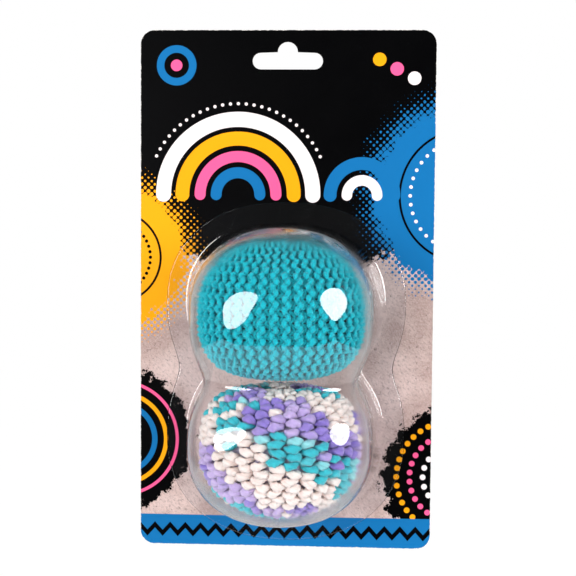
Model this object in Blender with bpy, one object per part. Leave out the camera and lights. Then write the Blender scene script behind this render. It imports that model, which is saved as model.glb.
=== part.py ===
"""Carded pair of knitted footbags in a clear two-dome blister.

Metres, +Z up. The origin is the centre of the card's hang slot, midway through the board, and the pack faces -Y.
Each footbag is a knitted cover, drawn shut at both poles, round a thin liner that holds the pellets.
"""

import math

import bmesh
import bpy
from mathutils import Vector

# Printed card
CARD_WIDTH = 0.102
CARD_HEIGHT = 0.180
CARD_THICKNESS = 0.0006
CARD_CORNER_RADIUS = 0.0048
SLOT_WIDTH = 0.0243
SLOT_HEIGHT = 0.0057
SLOT_DROP = 0.0106
HUMP_WIDTH = 0.0070
HUMP_RISE = 0.0037
PUNCH_OVERRUN = 0.0010

# Clear blister
SHEET_THICKNESS = 0.0004
SEAL_GAP = 0.0003
FLANGE_MARGIN = 0.0074
BAG_ROOM = 0.0010
SIDE_FLARE = 0.0061
TOP_FLARE = 0.0020
FOOT_FLARE = 0.0046
DOME_CROWN_SHAPE = 2.45
DOME_WAIST_BLEND = 6.0
FLARE_SHAPE = 1.6
FLANGE_SHAPE = 2.25
FLANGE_WAIST_BLEND = 11.0

# Footbags
UPPER_RADIUS = 0.0257
UPPER_HALF_HEIGHT = 0.0234
UPPER_RIDGES = 44
UPPER_YARN = 0.0016
LOWER_RADIUS = 0.0267
LOWER_HALF_HEIGHT = 0.0228
LOWER_RIDGES = 34
LOWER_YARN = 0.0020
CONTACT_RISE = 0.0624
BAG_GAP = 0.0003
CARD_CLEARANCE = 0.0004
FREE_END_SHAPE = 2.15
PRESSED_END_SHAPE = 2.85

# Knitted cover, as multiples of its yarn's diameter
COVER_YARNS_SHARE = 1.7
RIDGE_YARNS_SHARE = 0.35
RIDGE_FADE_SHARE = 0.6

# Drawn poles
POLE_OPENING = 0.0036
DIMPLE_RADIUS = 0.0090
DIMPLE_DEPTH = 0.0050
DRAW_YARN_SEAT = 0.0003
KNOT_YARN = 0.0011
KNOT_SEAT = 0.0003

# Liner and pellets
LINER_THICKNESS = 0.0005
LINER_CLEARANCE = 0.0003
PELLET_CLEARANCE = 0.0003
PELLET_HEADROOM = 0.0030

# Resolution
CORNER_STEPS = 6
SLOT_STEPS = 10
BLISTER_DIRECTIONS = 52
DOME_RINGS = 11
DOME_SPACING_SHAPE = 1.6
FLARE_RINGS = 3
OUTLINE_HALVINGS = 32
COVER_RINGS = 12
INNER_DIRECTIONS = 20
INNER_RINGS = 8
DRAW_YARN_STEPS = 20
DRAW_YARN_SIDES = 6
KNOT_STEPS = 48
CROWN_STEPS = 60
SHARP_EDGE_DEGREES = 40

# Heights from the slot. The footbags sit above the card's foot, so a taller card has a taller header
CARD_TOP = SLOT_DROP
CARD_FOOT = CARD_TOP - CARD_HEIGHT
CARD_FRONT = -CARD_THICKNESS / 2
CONTACT_HEIGHT = CARD_FOOT + CONTACT_RISE
UPPER_CENTRE = CONTACT_HEIGHT + BAG_GAP / 2 + UPPER_HALF_HEIGHT
LOWER_CENTRE = CONTACT_HEIGHT - BAG_GAP / 2 - LOWER_HALF_HEIGHT


def clear_scene():
    for obj in list(bpy.data.objects):
        bpy.data.objects.remove(obj, do_unlink=True)


def material(name, colour, roughness, alpha=1.0):
    made = bpy.data.materials.new(name)
    made.use_nodes = True
    shader = made.node_tree.nodes["Principled BSDF"]
    shader.inputs["Base Color"].default_value = (*colour, 1.0)
    shader.inputs["Roughness"].default_value = roughness
    shader.inputs["Metallic"].default_value = 0.0
    shader.inputs["Alpha"].default_value = alpha
    return made


def add_object(name, mesh, finish, location=(0, 0, 0), parent=None):
    obj = bpy.data.objects.new(name, mesh)
    bpy.context.scene.collection.objects.link(obj)
    obj.location = location
    obj.parent = parent
    mesh.materials.append(finish)
    return obj


def closed_mesh(name, points, faces):
    mesh = bpy.data.meshes.new(name)
    mesh.from_pydata(points, [], faces)
    work = bmesh.new()
    work.from_mesh(mesh)
    bmesh.ops.recalc_face_normals(work, faces=work.faces)
    work.to_mesh(mesh)
    work.free()
    return mesh


def lofted_mesh(name, rings, start=None, end=None):
    """A closed mesh through rings of equal length. Points at the start and the end close it; with neither, the last
    ring joins the first."""
    sides = len(rings[0])
    points = [point for ring in rings for point in ring]
    spans = len(rings) if start is None else len(rings) - 1
    faces = []
    for row in range(spans):
        low, high = row * sides, (row + 1) % len(rings) * sides
        for side in range(sides):
            following = (side + 1) % sides
            faces.append((low + side, low + following, high + following, high + side))
    if start is not None:
        last = (len(rings) - 1) * sides
        points += [start, end]
        hub, far_hub = len(points) - 2, len(points) - 1
        for side in range(sides):
            following = (side + 1) % sides
            faces.append((hub, following, side))
            faces.append((far_hub, last + side, last + following))
    mesh = closed_mesh(name, points, faces)
    mesh.shade_smooth()
    mesh.set_sharp_from_angle(angle=math.radians(SHARP_EDGE_DEGREES))
    return mesh


def arc(centre_x, centre_z, radius, first, last, steps):
    """Points of an arc in the card's plane, from one angle to another in degrees."""
    points = []
    for step in range(steps + 1):
        angle = math.radians(first + (last - first) * step / steps)
        points.append((centre_x + radius * math.cos(angle), centre_z + radius * math.sin(angle)))
    return points


def card_outline():
    inner_x = CARD_WIDTH / 2 - CARD_CORNER_RADIUS
    high, low = CARD_TOP - CARD_CORNER_RADIUS, CARD_FOOT + CARD_CORNER_RADIUS
    return (
        arc(inner_x, high, CARD_CORNER_RADIUS, 0, 90, CORNER_STEPS)
        + arc(-inner_x, high, CARD_CORNER_RADIUS, 90, 180, CORNER_STEPS)
        + arc(-inner_x, low, CARD_CORNER_RADIUS, 180, 270, CORNER_STEPS)
        + arc(inner_x, low, CARD_CORNER_RADIUS, 270, 360, CORNER_STEPS)
    )


def slot_outline():
    """The hat-shaped hang slot: a round-ended slot with a round hump over its middle."""
    end_radius = SLOT_HEIGHT / 2
    end_x = SLOT_WIDTH / 2 - end_radius
    hump_radius = HUMP_WIDTH / 2
    hump_centre = end_radius + HUMP_RISE - hump_radius
    return (
        arc(end_x, 0, end_radius, -90, 90, SLOT_STEPS)
        + arc(0, hump_centre, hump_radius, 0, 180, SLOT_STEPS)
        + arc(-end_x, 0, end_radius, 90, 270, SLOT_STEPS)
    )


def plate_mesh(name, outline, front, back):
    """An outline in the card's plane, made a plate between two depths."""
    count = len(outline)
    points = [(x, front, z) for x, z in outline] + [(x, back, z) for x, z in outline]
    faces = [tuple(range(count)), tuple(reversed(range(count, 2 * count)))]
    for side in range(count):
        following = (side + 1) % count
        faces.append((following, side, count + side, count + following))
    return closed_mesh(name, points, faces)


def backing_card(finish):
    card = add_object("backing_card", plate_mesh("backing_card", card_outline(), CARD_FRONT, -CARD_FRONT), finish)
    punch_reach = CARD_THICKNESS / 2 + PUNCH_OVERRUN
    punch_mesh = plate_mesh("slot_punch", slot_outline(), -punch_reach, punch_reach)
    punch = add_object("slot_punch", punch_mesh, finish)
    punch.hide_render = True
    punch.display_type = "WIRE"
    cut = card.modifiers.new("hang_slot", "BOOLEAN")
    cut.operation = "DIFFERENCE"
    cut.object = punch
    return card


class Footbag:
    """The sizes of one footbag and the depth and height of its centre."""

    def __init__(self, name, radius, half_height, ridges, yarn, centre, pressed_end):
        self.name = name
        self.radius = radius
        self.half_height = half_height
        self.ridges = ridges
        self.yarn = yarn
        self.pressed_end = pressed_end
        self.cover_thickness = COVER_YARNS_SHARE * yarn
        self.ridge_depth = RIDGE_YARNS_SHARE * yarn
        self.location = (0, CARD_FRONT - CARD_CLEARANCE - radius, centre)

    def bulge(self, inset, distance, end):
        """Height of a rounded end with a dimple at its pole, before it is stretched to the bag's half height."""
        shape = PRESSED_END_SHAPE if end == self.pressed_end else FREE_END_SHAPE
        radius, half_height = self.radius - inset, self.half_height - inset
        height = half_height * (1 - min(1, distance / radius) ** shape) ** (1 / shape)
        return height - DIMPLE_DEPTH * max(0, 1 - (distance / DIMPLE_RADIUS) ** 2) ** 2

    def profile(self, inset, distance, end):
        """Height above the centre of the surface that lies inset under the cover's, at a distance from the axis. The
        end is 1 for the top and -1 for the foot."""
        return end * self.bulge(inset, distance, end) * self.stretch(end)

    def stretch(self, end):
        """What brings the crown round a pole's dimple up to the half height."""
        crown = max(self.bulge(0, self.radius * step / CROWN_STEPS, end) for step in range(CROWN_STEPS))
        return self.half_height / crown

    def full_half(self, end):
        """Half height of the rounded end without its dimple, for what has to clear it."""
        return self.half_height * self.stretch(end)

    def opening(self, inset):
        """Radius of the opening at each pole of the surface that lies inset under the cover's."""
        return POLE_OPENING * (self.radius - inset) / self.radius

    def surface(self, inset, count):
        """Distances and heights down that surface, from its top opening to its foot opening. The rows of two surfaces
        with the same count lie at the same angles, so that they stay clear of each other."""
        first = math.asin(POLE_OPENING / self.radius)
        rows = []
        for row in range(count + 1):
            angle = first + (math.pi - 2 * first) * row / count
            distance = (self.radius - inset) * math.sin(angle)
            rows.append((distance, self.profile(inset, distance, 1 if angle < math.pi / 2 else -1)))
        return rows


def turned_ring(distance, height, sides, ridge_depth=0):
    """A ring about the vertical axis. With a ridge depth, every second point lies that much nearer the axis."""
    ring = []
    for side in range(sides):
        angle = math.tau * side / sides
        reach = distance - ridge_depth * (side % 2)
        ring.append((reach * math.cos(angle), reach * math.sin(angle), height))
    return ring


def knitted_cover(bag, finish, pivot):
    """Garter ridges run from pole to pole, two points to a ridge. They fade out where the poles are drawn shut."""
    sides = 2 * bag.ridges
    rings = []
    for distance, height in bag.surface(0, COVER_RINGS):
        depth = bag.ridge_depth * min(1, distance / (RIDGE_FADE_SHARE * bag.radius))
        rings.append(turned_ring(distance, height, sides, depth))
    for distance, height in reversed(bag.surface(bag.cover_thickness, INNER_RINGS)):
        rings.append(turned_ring(distance, height, sides))
    rings.reverse()
    add_object(f"{bag.name}_knitted_cover", lofted_mesh("knitted_cover", rings), finish, parent=pivot)


def tube_mesh(name, path, radius, sides):
    """A closed loop of yarn: a ring of points square to the path at each of its points."""
    rings = []
    for step, point in enumerate(path):
        ahead = (path[(step + 1) % len(path)] - path[step - 1]).normalized()
        across = ahead.cross(Vector((0, 0, 1))).normalized()
        over = across.cross(ahead)
        ring = []
        for side in range(sides):
            angle = math.tau * side / sides
            ring.append(point + radius * (math.cos(angle) * across + math.sin(angle) * over))
        rings.append(ring)
    return lofted_mesh(name, rings)


def draw_yarn(bag, end, finish, pivot):
    """The yarn that draws one pole shut: a ring just inside the cover's opening, halfway through its thickness."""
    radius = bag.yarn / 2
    across = bag.opening(bag.cover_thickness) - DRAW_YARN_SEAT - radius
    level = bag.profile(bag.cover_thickness / 2, POLE_OPENING, end)
    path = []
    for step in range(DRAW_YARN_STEPS):
        angle = math.tau * step / DRAW_YARN_STEPS
        path.append(Vector((across * math.cos(angle), across * math.sin(angle), level)))
    place = "top" if end > 0 else "foot"
    mesh = tube_mesh("draw_yarn", path, radius, DRAW_YARN_SIDES)
    add_object(f"{bag.name}_{place}_draw_yarn", mesh, finish, parent=pivot)
    return level + radius


def closing_knot(bag, ring_top, finish, pivot):
    """The overhand knot that fastens the drawn yarn. It lies on the ring, in the dimple of the top pole."""
    loop = (bag.opening(0) - KNOT_SEAT - KNOT_YARN / 2) / 3
    level = ring_top + KNOT_SEAT + loop + KNOT_YARN / 2
    path = []
    for step in range(KNOT_STEPS):
        angle = math.tau * step / KNOT_STEPS
        distance = loop * (2 + math.cos(3 * angle))
        height = level + loop * math.sin(3 * angle)
        path.append(Vector((distance * math.cos(2 * angle), distance * math.sin(2 * angle), height)))
    mesh = tube_mesh("closing_knot", path, KNOT_YARN / 2, DRAW_YARN_SIDES)
    add_object(f"{bag.name}_closing_knot", mesh, finish, parent=pivot)


def liner(bag, finish, pivot):
    """Thin bag inside the cover, open at its neck under the top pole."""
    outset = bag.cover_thickness + LINER_CLEARANCE
    outside = bag.surface(outset, INNER_RINGS)
    inside = bag.surface(outset + LINER_THICKNESS, INNER_RINGS)
    rings = [turned_ring(*row, INNER_DIRECTIONS) for row in reversed(outside)]
    rings += [turned_ring(*row, INNER_DIRECTIONS) for row in inside]
    foot = Vector((0, 0, bag.profile(outset, 0, -1)))
    inner_foot = Vector((0, 0, bag.profile(outset + LINER_THICKNESS, 0, -1)))
    add_object(f"{bag.name}_liner", lofted_mesh("liner", rings, foot, inner_foot), finish, parent=pivot)


def pellet_fill(bag, finish, pivot):
    """The pellets, settled together as one body that leaves a little room under the liner's neck."""
    inset = bag.cover_thickness + LINER_CLEARANCE + LINER_THICKNESS + PELLET_CLEARANCE
    rows = bag.surface(inset, INNER_RINGS)
    fill_top = rows[0][1] - PELLET_HEADROOM
    rings = [turned_ring(distance, min(height, fill_top), INNER_DIRECTIONS) for distance, height in reversed(rows)]
    foot = Vector((0, 0, bag.profile(inset, 0, -1)))
    mesh = lofted_mesh("pellet_fill", rings, foot, Vector((0, 0, fill_top)))
    add_object(f"{bag.name}_pellet_fill", mesh, finish, parent=pivot)


def footbag(bag, cover_finish, yarn_finish, liner_finish, pellet_finish):
    pivot = bpy.data.objects.new(f"{bag.name}_footbag", None)
    bpy.context.scene.collection.objects.link(pivot)
    pivot.location = bag.location
    knitted_cover(bag, cover_finish, pivot)
    ring_top = draw_yarn(bag, 1, yarn_finish, pivot)
    draw_yarn(bag, -1, yarn_finish, pivot)
    closing_knot(bag, ring_top, yarn_finish, pivot)
    liner(bag, liner_finish, pivot)
    pellet_fill(bag, pellet_finish, pivot)


class Outline:
    """An outline in the card's plane of two round lobes, one for each footbag, that run together at a waist."""

    def __init__(self, half_width, top_half, foot_half, end_shape, waist_shape, blend):
        self.half_width = half_width
        self.top_half = top_half
        self.foot_half = foot_half
        self.end_shape = end_shape
        self.waist_shape = waist_shape
        self.blend = blend
        self.reaches = [self.reach(direction) for direction in range(BLISTER_DIRECTIONS)]

    def lobe(self, x, rise, half_height):
        """How far out a point lies in one lobe: 0 at its centre, 1 on its edge. Rise is positive away from the waist."""
        shape = self.end_shape if rise > 0 else self.waist_shape
        return (abs(x / self.half_width) ** shape + abs(rise / half_height) ** shape) ** (1 / shape)

    def share(self, x, z):
        """The same for both lobes together, blended at the waist."""
        upper = self.lobe(x, z - UPPER_CENTRE, self.top_half)
        lower = self.lobe(x, LOWER_CENTRE - z, self.foot_half)
        nearer, farther = min(upper, lower), max(upper, lower)
        return nearer * (1 + (nearer / farther) ** self.blend) ** (-1 / self.blend)

    def place(self, direction, distance):
        """Point of the card's plane at a distance from the waist, in one of the blister's directions."""
        angle = math.tau * direction / BLISTER_DIRECTIONS
        return distance * math.cos(angle), CONTACT_HEIGHT + distance * math.sin(angle)

    def reach(self, direction):
        """Distance from the waist to the outline in one direction, found by halving."""
        near, far = 0, self.half_width + self.top_half + self.foot_half
        for _ in range(OUTLINE_HALVINGS):
            middle = (near + far) / 2
            if self.share(*self.place(direction, middle)) < 1:
                near = middle
            else:
                far = middle
        return near

    def shrunk(self, inset):
        sizes = (self.half_width - inset, self.top_half - inset, self.foot_half - inset)
        return Outline(*sizes, self.end_shape, self.waist_shape, self.blend)


def dome_surface(shoulder, foot, base, shoulder_height, crown_height):
    """Crowned domes inside the shoulder's outline, then a wall that flares out to the foot's. It returns the point at
    the waist and the rings from there to the foot."""

    def surface_point(direction, out_share):
        x, z = shoulder.place(direction, out_share * shoulder.reaches[direction])
        out = min(1, shoulder.share(x, z))
        crown = crown_height * (1 - out**DOME_CROWN_SHAPE) ** (1 / DOME_CROWN_SHAPE)
        return x, base - shoulder_height - crown, z

    rings = []
    for step in range(1, DOME_RINGS + 1):
        out_share = 1 - (1 - step / DOME_RINGS) ** DOME_SPACING_SHAPE
        rings.append([surface_point(direction, out_share) for direction in range(BLISTER_DIRECTIONS)])
    for step in range(1, FLARE_RINGS + 1):
        down_share = step / FLARE_RINGS
        ring = []
        for direction in range(BLISTER_DIRECTIONS):
            narrow, wide = shoulder.reaches[direction], foot.reaches[direction]
            x, z = foot.place(direction, narrow + (wide - narrow) * down_share**FLARE_SHAPE)
            ring.append((x, base - shoulder_height * (1 - down_share), z))
        rings.append(ring)
    return surface_point(0, 0), rings


def flat_ring(outline, depth):
    ring = []
    for direction, reach in enumerate(outline.reaches):
        x, z = outline.place(direction, reach)
        ring.append((x, depth, z))
    return ring


def blister_shell(upper, lower, finish):
    """Thermoformed sheet: two domes that follow the footbags, a flaring wall, and a flat flange sealed to the card."""
    seal = CARD_FRONT - SEAL_GAP
    face = seal - SHEET_THICKNESS
    bag_radius = max(upper.radius, lower.radius)
    shoulder_height = CARD_CLEARANCE - SEAL_GAP + bag_radius
    crown_height = bag_radius + BAG_ROOM
    bag_halves = (bag_radius, upper.full_half(1), lower.full_half(-1))
    inner_sizes = [half + BAG_ROOM for half in bag_halves]
    flares = (SIDE_FLARE, TOP_FLARE, FOOT_FLARE)
    foot_sizes = [size + flare + SHEET_THICKNESS for size, flare in zip(inner_sizes, flares)]
    rim_sizes = [size + FLANGE_MARGIN for size in foot_sizes]
    inner_shoulder = Outline(*inner_sizes, FREE_END_SHAPE, PRESSED_END_SHAPE, DOME_WAIST_BLEND)
    outer_shoulder = inner_shoulder.shrunk(-SHEET_THICKNESS)
    outer_foot = Outline(*foot_sizes, FLANGE_SHAPE, FLANGE_SHAPE, FLANGE_WAIST_BLEND)
    inner_foot = outer_foot.shrunk(SHEET_THICKNESS)
    rim = Outline(*rim_sizes, FLANGE_SHAPE, FLANGE_SHAPE, FLANGE_WAIST_BLEND)
    waist, outside = dome_surface(outer_shoulder, outer_foot, face, shoulder_height, crown_height)
    inner_waist, inside = dome_surface(inner_shoulder, inner_foot, seal, shoulder_height, crown_height)
    rings = outside + [flat_ring(rim, face), flat_ring(rim, seal)] + list(reversed(inside))
    return add_object("blister_shell", lofted_mesh("blister_shell", rings, waist, inner_waist), finish)


def main():
    clear_scene()
    backing_card(material("printed_card", (0.02, 0.02, 0.025), 0.45))
    teal = material("teal_yarn", (0.02, 0.38, 0.47), 0.9)
    mixed = material("mixed_yarn", (0.55, 0.50, 0.75), 0.9)
    liner_film = material("liner_film", (0.85, 0.85, 0.85), 0.4)
    pellets = material("pellets", (0.80, 0.80, 0.78), 0.5)
    upper = Footbag("upper", UPPER_RADIUS, UPPER_HALF_HEIGHT, UPPER_RIDGES, UPPER_YARN, UPPER_CENTRE, -1)
    lower = Footbag("lower", LOWER_RADIUS, LOWER_HALF_HEIGHT, LOWER_RIDGES, LOWER_YARN, LOWER_CENTRE, 1)
    footbag(upper, teal, teal, liner_film, pellets)
    footbag(lower, mixed, mixed, liner_film, pellets)
    blister_shell(upper, lower, material("clear_sheet", (0.95, 0.97, 1.0), 0.05, alpha=0.25))


main()
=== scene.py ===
"""Looks of a carded pair of knitted footbags: card, blister, knitted covers, yarns, liners and pellets.

Metres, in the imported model's frame: the origin is the middle of the card's hang slot, +Z is up and the pack
faces -Y.
"""

import math

import bmesh
import bpy
from mathutils import Matrix, Quaternion, Vector, noise


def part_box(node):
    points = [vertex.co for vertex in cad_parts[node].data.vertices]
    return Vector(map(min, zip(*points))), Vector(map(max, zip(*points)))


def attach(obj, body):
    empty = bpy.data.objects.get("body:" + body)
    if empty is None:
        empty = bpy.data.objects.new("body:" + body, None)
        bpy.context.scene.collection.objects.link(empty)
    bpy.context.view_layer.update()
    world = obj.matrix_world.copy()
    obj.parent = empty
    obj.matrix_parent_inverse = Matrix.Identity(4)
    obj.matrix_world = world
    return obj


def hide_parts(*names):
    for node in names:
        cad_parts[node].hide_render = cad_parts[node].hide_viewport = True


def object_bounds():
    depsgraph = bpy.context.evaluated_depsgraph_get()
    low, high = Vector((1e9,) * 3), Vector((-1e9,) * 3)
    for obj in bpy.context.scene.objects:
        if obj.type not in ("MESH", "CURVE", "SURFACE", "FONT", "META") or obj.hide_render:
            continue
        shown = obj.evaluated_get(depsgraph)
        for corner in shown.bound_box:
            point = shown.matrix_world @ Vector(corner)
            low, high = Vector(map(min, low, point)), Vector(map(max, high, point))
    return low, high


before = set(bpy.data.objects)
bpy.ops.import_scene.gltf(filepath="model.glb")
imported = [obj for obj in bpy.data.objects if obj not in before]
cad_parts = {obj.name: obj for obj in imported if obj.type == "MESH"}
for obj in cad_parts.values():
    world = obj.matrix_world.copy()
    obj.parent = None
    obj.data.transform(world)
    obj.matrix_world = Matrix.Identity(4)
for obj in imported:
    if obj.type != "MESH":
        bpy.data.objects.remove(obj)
CAD_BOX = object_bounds()

MM = 0.001


def srgb(red, green, blue):
    """A linear colour from the 0 to 255 values that a picture shows."""
    linear = []
    for value in (red, green, blue):
        share = value / 255
        linear.append(share / 12.92 if share < 0.04045 else ((share + 0.055) / 1.055) ** 2.4)
    return (*linear, 1.0)


# Camera, fitted to the card's four corners in the photograph
IMAGE_PIXELS = 576
FOCAL_PIXELS = 1320.3
MIDDLE_PIXELS = (3.5, 5.0)
CAMERA_DISTANCE = 0.450
CAMERA_AZIMUTH = 3.29
CAMERA_ELEVATION = 3.69
CAMERA_ROLL = 0.41
CAMERA_TARGET = Vector((0, -0.010, -0.0794))
SENSOR_WIDTH = 36.0

# Studio: a white wall behind the pack, a pale table under it and a dim room in front
TABLE_DROP = 0.080
TABLE_FRONT = 0.26
TABLE_SIDE = 0.40
TABLE_BACK = 1.6
TABLE_SHARE = 0.95
TABLE_GLOW = 1.03
TABLE_DULLED = 0.3
ROOM_LIGHT = 0.50
DIM_ROOM = 0.05
LAMP_DISTANCE = 0.6
GLARE_AHEAD = 0.01

# Inks of the print
BLACK = srgb(3, 3, 4)
BLUE = srgb(22, 111, 172)
AMBER = srgb(255, 168, 20)
PINK = srgb(255, 95, 150)
WHITE = srgb(252, 238, 238)

# Places in the print, in millimetres
PRINT_BLUR = 0.09
CARD_CORNER = 4.8
TARGET_SPOT = (-38.5, -1.5)
LEFT_PATCH = (-58, -132)
RIGHT_PATCH = (59, -144)
PATCH_RADIUS = 25
HEADER_FRAY = 26
DISC_FRAY = 16
PATCH_FRAY = 18
HEADER_CENTRE = (0, 66)
HEADER_RADIUS = 138
HIGH_BOUNCE = (-17, -46)
LOW_BOUNCE = (26, -46)
FOOT_BAND_TOP = -158.8
FOOT_BAND_MIDDLE = -164.1

# Yarn and knitting
PLIES = 3
PROFILE_POINTS = 9
PLY_BULGE_SHARE = 0.15
PLY_LENGTH_SHARE = 3.4
SLUBS_PER_YARN = 0.7
SLUB_DEPTH = 0.55
MERIDIAN_POINTS = 120
CROWN_STEPS = 60
KNIT_SEED = 3
POLE_OPENING = 3.6 * MM
DIMPLE_RADIUS = 9.0 * MM
DIMPLE_DEPTH = 5.0 * MM
FREE_END_SHAPE = 2.15
PRESSED_END_SHAPE = 2.85
COVER_YARNS_SHARE = 1.4
DRAW_POINTS = 40
KNOT_YARN = 1.1 * MM
KNOT_POINTS = 96
YARN_GLOW_DEPTH = 1.3 * MM

# Colours of the yarn dyed in short lengths
TEAL, AQUA = srgb(62, 190, 202), srgb(166, 226, 228)
PURPLE, LILAC, CREAM = srgb(149, 129, 206), srgb(200, 178, 224), srgb(255, 233, 225)
TEAL_UNTIL = 0.25
CREAM_UNTIL = 0.65
DYE_WIDTH = 2.4
DYE_HEIGHT = 6.5
LEGS_PER_ROW = 28
LEGS_PER_REPEAT = 14.5
DYE_START = 0.91
DYE_WARP = 0.8
DYE_STRAY = 0.22

# Liner and pellets
LINER_CLOTH = 0.4 * MM
LINER_DEPTH = 0.5 * MM
LINER_EASE = 0.2 * MM
PLEAT_DEPTH = 0.35 * MM
SEAM_RISE = 0.16 * MM
SEAM_STEPS = 1.5
LINER_ROWS = 40
LINER_SIDES = 96
LINER_PLEATS = 16
LINER_GATHER_SHARE = 0.45
PELLET_SIZE = 3.0 * MM
PELLET_SPACING = 2.9 * MM
PELLET_VOXEL = 1.2 * MM
PELLET_SEED = 5

# Blister, by the same rule as its CAD solid, with a fuller crown, a straighter wall and a wider shoulder
SHEET = 0.4 * MM
CARD_FACE = -0.3 * MM
SEAL_GAP = 0.3 * MM
CARD_CLEARANCE = 0.4 * MM
BAG_ROOM = 1.0 * MM
FLARES = (6.1 * MM, 2.0 * MM, 4.6 * MM)
SHOULDER_CHANGES = (2.0 * MM, 0.8 * MM, -1.0 * MM)
FLANGE_MARGIN = 7.4 * MM
UPPER_CROWN_SHAPE = 2.35
LOWER_CROWN_SHAPE = 3.0
CROWN_CHANGE = 6.0 * MM
DOME_BLEND = 6.0
FLARE_SHAPE = 3.0
FLANGE_SHAPE = 2.25
FLANGE_BLEND = 11.0
WAIST_HEIGHT = -107.0 * MM
BEND_SIZE = 1.1 * MM
BLISTER_DIRECTIONS = 240
OUTLINE_HALVINGS = 26
DOME_RINGS = 46
DOME_SPACING_SHAPE = 1.6
WALL_RINGS = 14
BEND_RINGS = 5
FLANGE_RINGS = (0.5, 0.93, 1.0)
HAZE_RING = 27
WAVE_DEPTH = 0.17 * MM
WAVE_LENGTH = 8.0 * MM
WAVE_RISE = 20 * MM


# Node trees


class Wire:
    """An output socket. Arithmetic on it adds Math nodes to its tree."""

    def __init__(self, tree, socket):
        self.tree = tree
        self.socket = socket

    def __add__(self, other):
        return self.tree.math("ADD", self, other)

    def __radd__(self, other):
        return self.tree.math("ADD", other, self)

    def __sub__(self, other):
        return self.tree.math("SUBTRACT", self, other)

    def __rsub__(self, other):
        return self.tree.math("SUBTRACT", other, self)

    def __mul__(self, other):
        return self.tree.math("MULTIPLY", self, other)

    def __rmul__(self, other):
        return self.tree.math("MULTIPLY", other, self)

    def __truediv__(self, other):
        return self.tree.math("DIVIDE", self, other)

    def __neg__(self):
        return self.tree.math("MULTIPLY", self, -1.0)


class Tree:
    """A node tree that is being built."""

    def __init__(self, group):
        self.group = group

    def node(self, kind, inputs=None, **settings):
        made = self.group.nodes.new(kind)
        for name, value in settings.items():
            setattr(made, name, value)
        for key, value in (inputs or {}).items():
            self.feed(made.inputs[key], value)
        return made

    def feed(self, socket, value):
        if isinstance(value, Wire):
            self.group.links.new(value.socket, socket)
        else:
            socket.default_value = value

    def get(self, kind, output=0, inputs=None, **settings):
        return Wire(self, self.node(kind, inputs, **settings).outputs[output])

    def math(self, operation, *values):
        return self.get("ShaderNodeMath", 0, dict(enumerate(values)), operation=operation)

    def combine(self, x, y, z):
        return self.get("ShaderNodeCombineXYZ", 0, {0: x, 1: y, 2: z})

    def separate(self, vector):
        node = self.node("ShaderNodeSeparateXYZ", {0: vector})
        return [Wire(self, socket) for socket in node.outputs]

    def mix(self, first, second, share):
        """A colour between two others."""
        return self.get("ShaderNodeMix", 2, {0: share, 6: first, 7: second}, data_type="RGBA")

    def ramp(self, value, low, high, start=0.0, end=1.0):
        """A smooth step from start to end while value goes from low to high."""
        inputs = {"Value": value, "From Min": low, "From Max": high, "To Min": start, "To Max": end}
        return self.get("ShaderNodeMapRange", 0, inputs, interpolation_type="SMOOTHSTEP")

    def noise(self, vector, scale, detail=2.0, roughness=0.5):
        inputs = {"Vector": vector, "Scale": scale, "Detail": detail, "Roughness": roughness}
        return self.get("ShaderNodeTexNoise", 0, inputs)

    def scaled(self, vector, share):
        return self.get("ShaderNodeVectorMath", 0, {0: vector, "Scale": share}, operation="SCALE")

    def bump(self, strength, distance, height):
        inputs = {"Strength": strength, "Distance": distance, "Height": height}
        return self.get("ShaderNodeBump", 0, inputs)

    def stored(self, geometry, name, value, kind):
        """Geometry that keeps a value at each point under a name."""
        inputs = {"Geometry": geometry, "Name": name, "Value": value}
        return self.get("GeometryNodeStoreNamedAttribute", 0, inputs, data_type=kind, domain="POINT")

    def rays(self, *kinds):
        """1 for each of the named kinds of ray."""
        path = self.node("ShaderNodeLightPath")
        return [Wire(self, path.outputs[f"Is {kind} Ray"]) for kind in kinds]

    def blend_surface(self, share, first, second):
        """Makes a material's surface a blend of two shaders."""
        inputs = {0: share, 1: Wire(self, first.outputs[0]), 2: Wire(self, second.outputs[0])}
        blend = self.get("ShaderNodeMixShader", 0, inputs)
        self.feed(self.group.nodes["Material Output"].inputs["Surface"], blend)


def material(name):
    """A new material with its tree and its Principled shader."""
    made = bpy.data.materials.new(name)
    made.use_nodes = True
    return made, Tree(made.node_tree), made.node_tree.nodes["Principled BSDF"]


def linked(name, data):
    """A new object in the scene."""
    made = bpy.data.objects.new(name, data)
    bpy.context.scene.collection.objects.link(made)
    return made


def finished_mesh(name, work):
    """The mesh of a bmesh, which is freed."""
    mesh = bpy.data.meshes.new(name)
    work.to_mesh(mesh)
    work.free()
    return mesh


def walled(name, work, finish, thickness):
    """An object from the smooth outer skin in a bmesh, with a wall under it."""
    mesh = finished_mesh(name, work)
    mesh.shade_smooth()
    mesh.materials.append(finish)
    made = linked(name, mesh)
    wall = made.modifiers.new("wall", "SOLIDIFY")
    wall.thickness = thickness
    wall.offset = -1
    graph = bpy.context.evaluated_depsgraph_get()
    mesh = bpy.data.meshes.new_from_object(made.evaluated_get(graph))
    made.modifiers.clear()
    made.data = mesh
    return made


def geometry_tree(name, sizes):
    """A geometry tree with a named input for each size: the tree, its inputs by name and its output."""
    group = bpy.data.node_groups.new(name, "GeometryNodeTree")
    group.is_modifier = True
    group.interface.new_socket("Geometry", in_out="INPUT", socket_type="NodeSocketGeometry")
    for label, kind in sizes.items():
        group.interface.new_socket(label, in_out="INPUT", socket_type="NodeSocket" + kind)
    group.interface.new_socket("Geometry", in_out="OUTPUT", socket_type="NodeSocketGeometry")
    tree = Tree(group)
    entry = tree.node("NodeGroupInput")
    inputs = {socket.name: Wire(tree, socket) for socket in entry.outputs if socket.name}
    return tree, inputs, tree.node("NodeGroupOutput").inputs[0]


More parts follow.
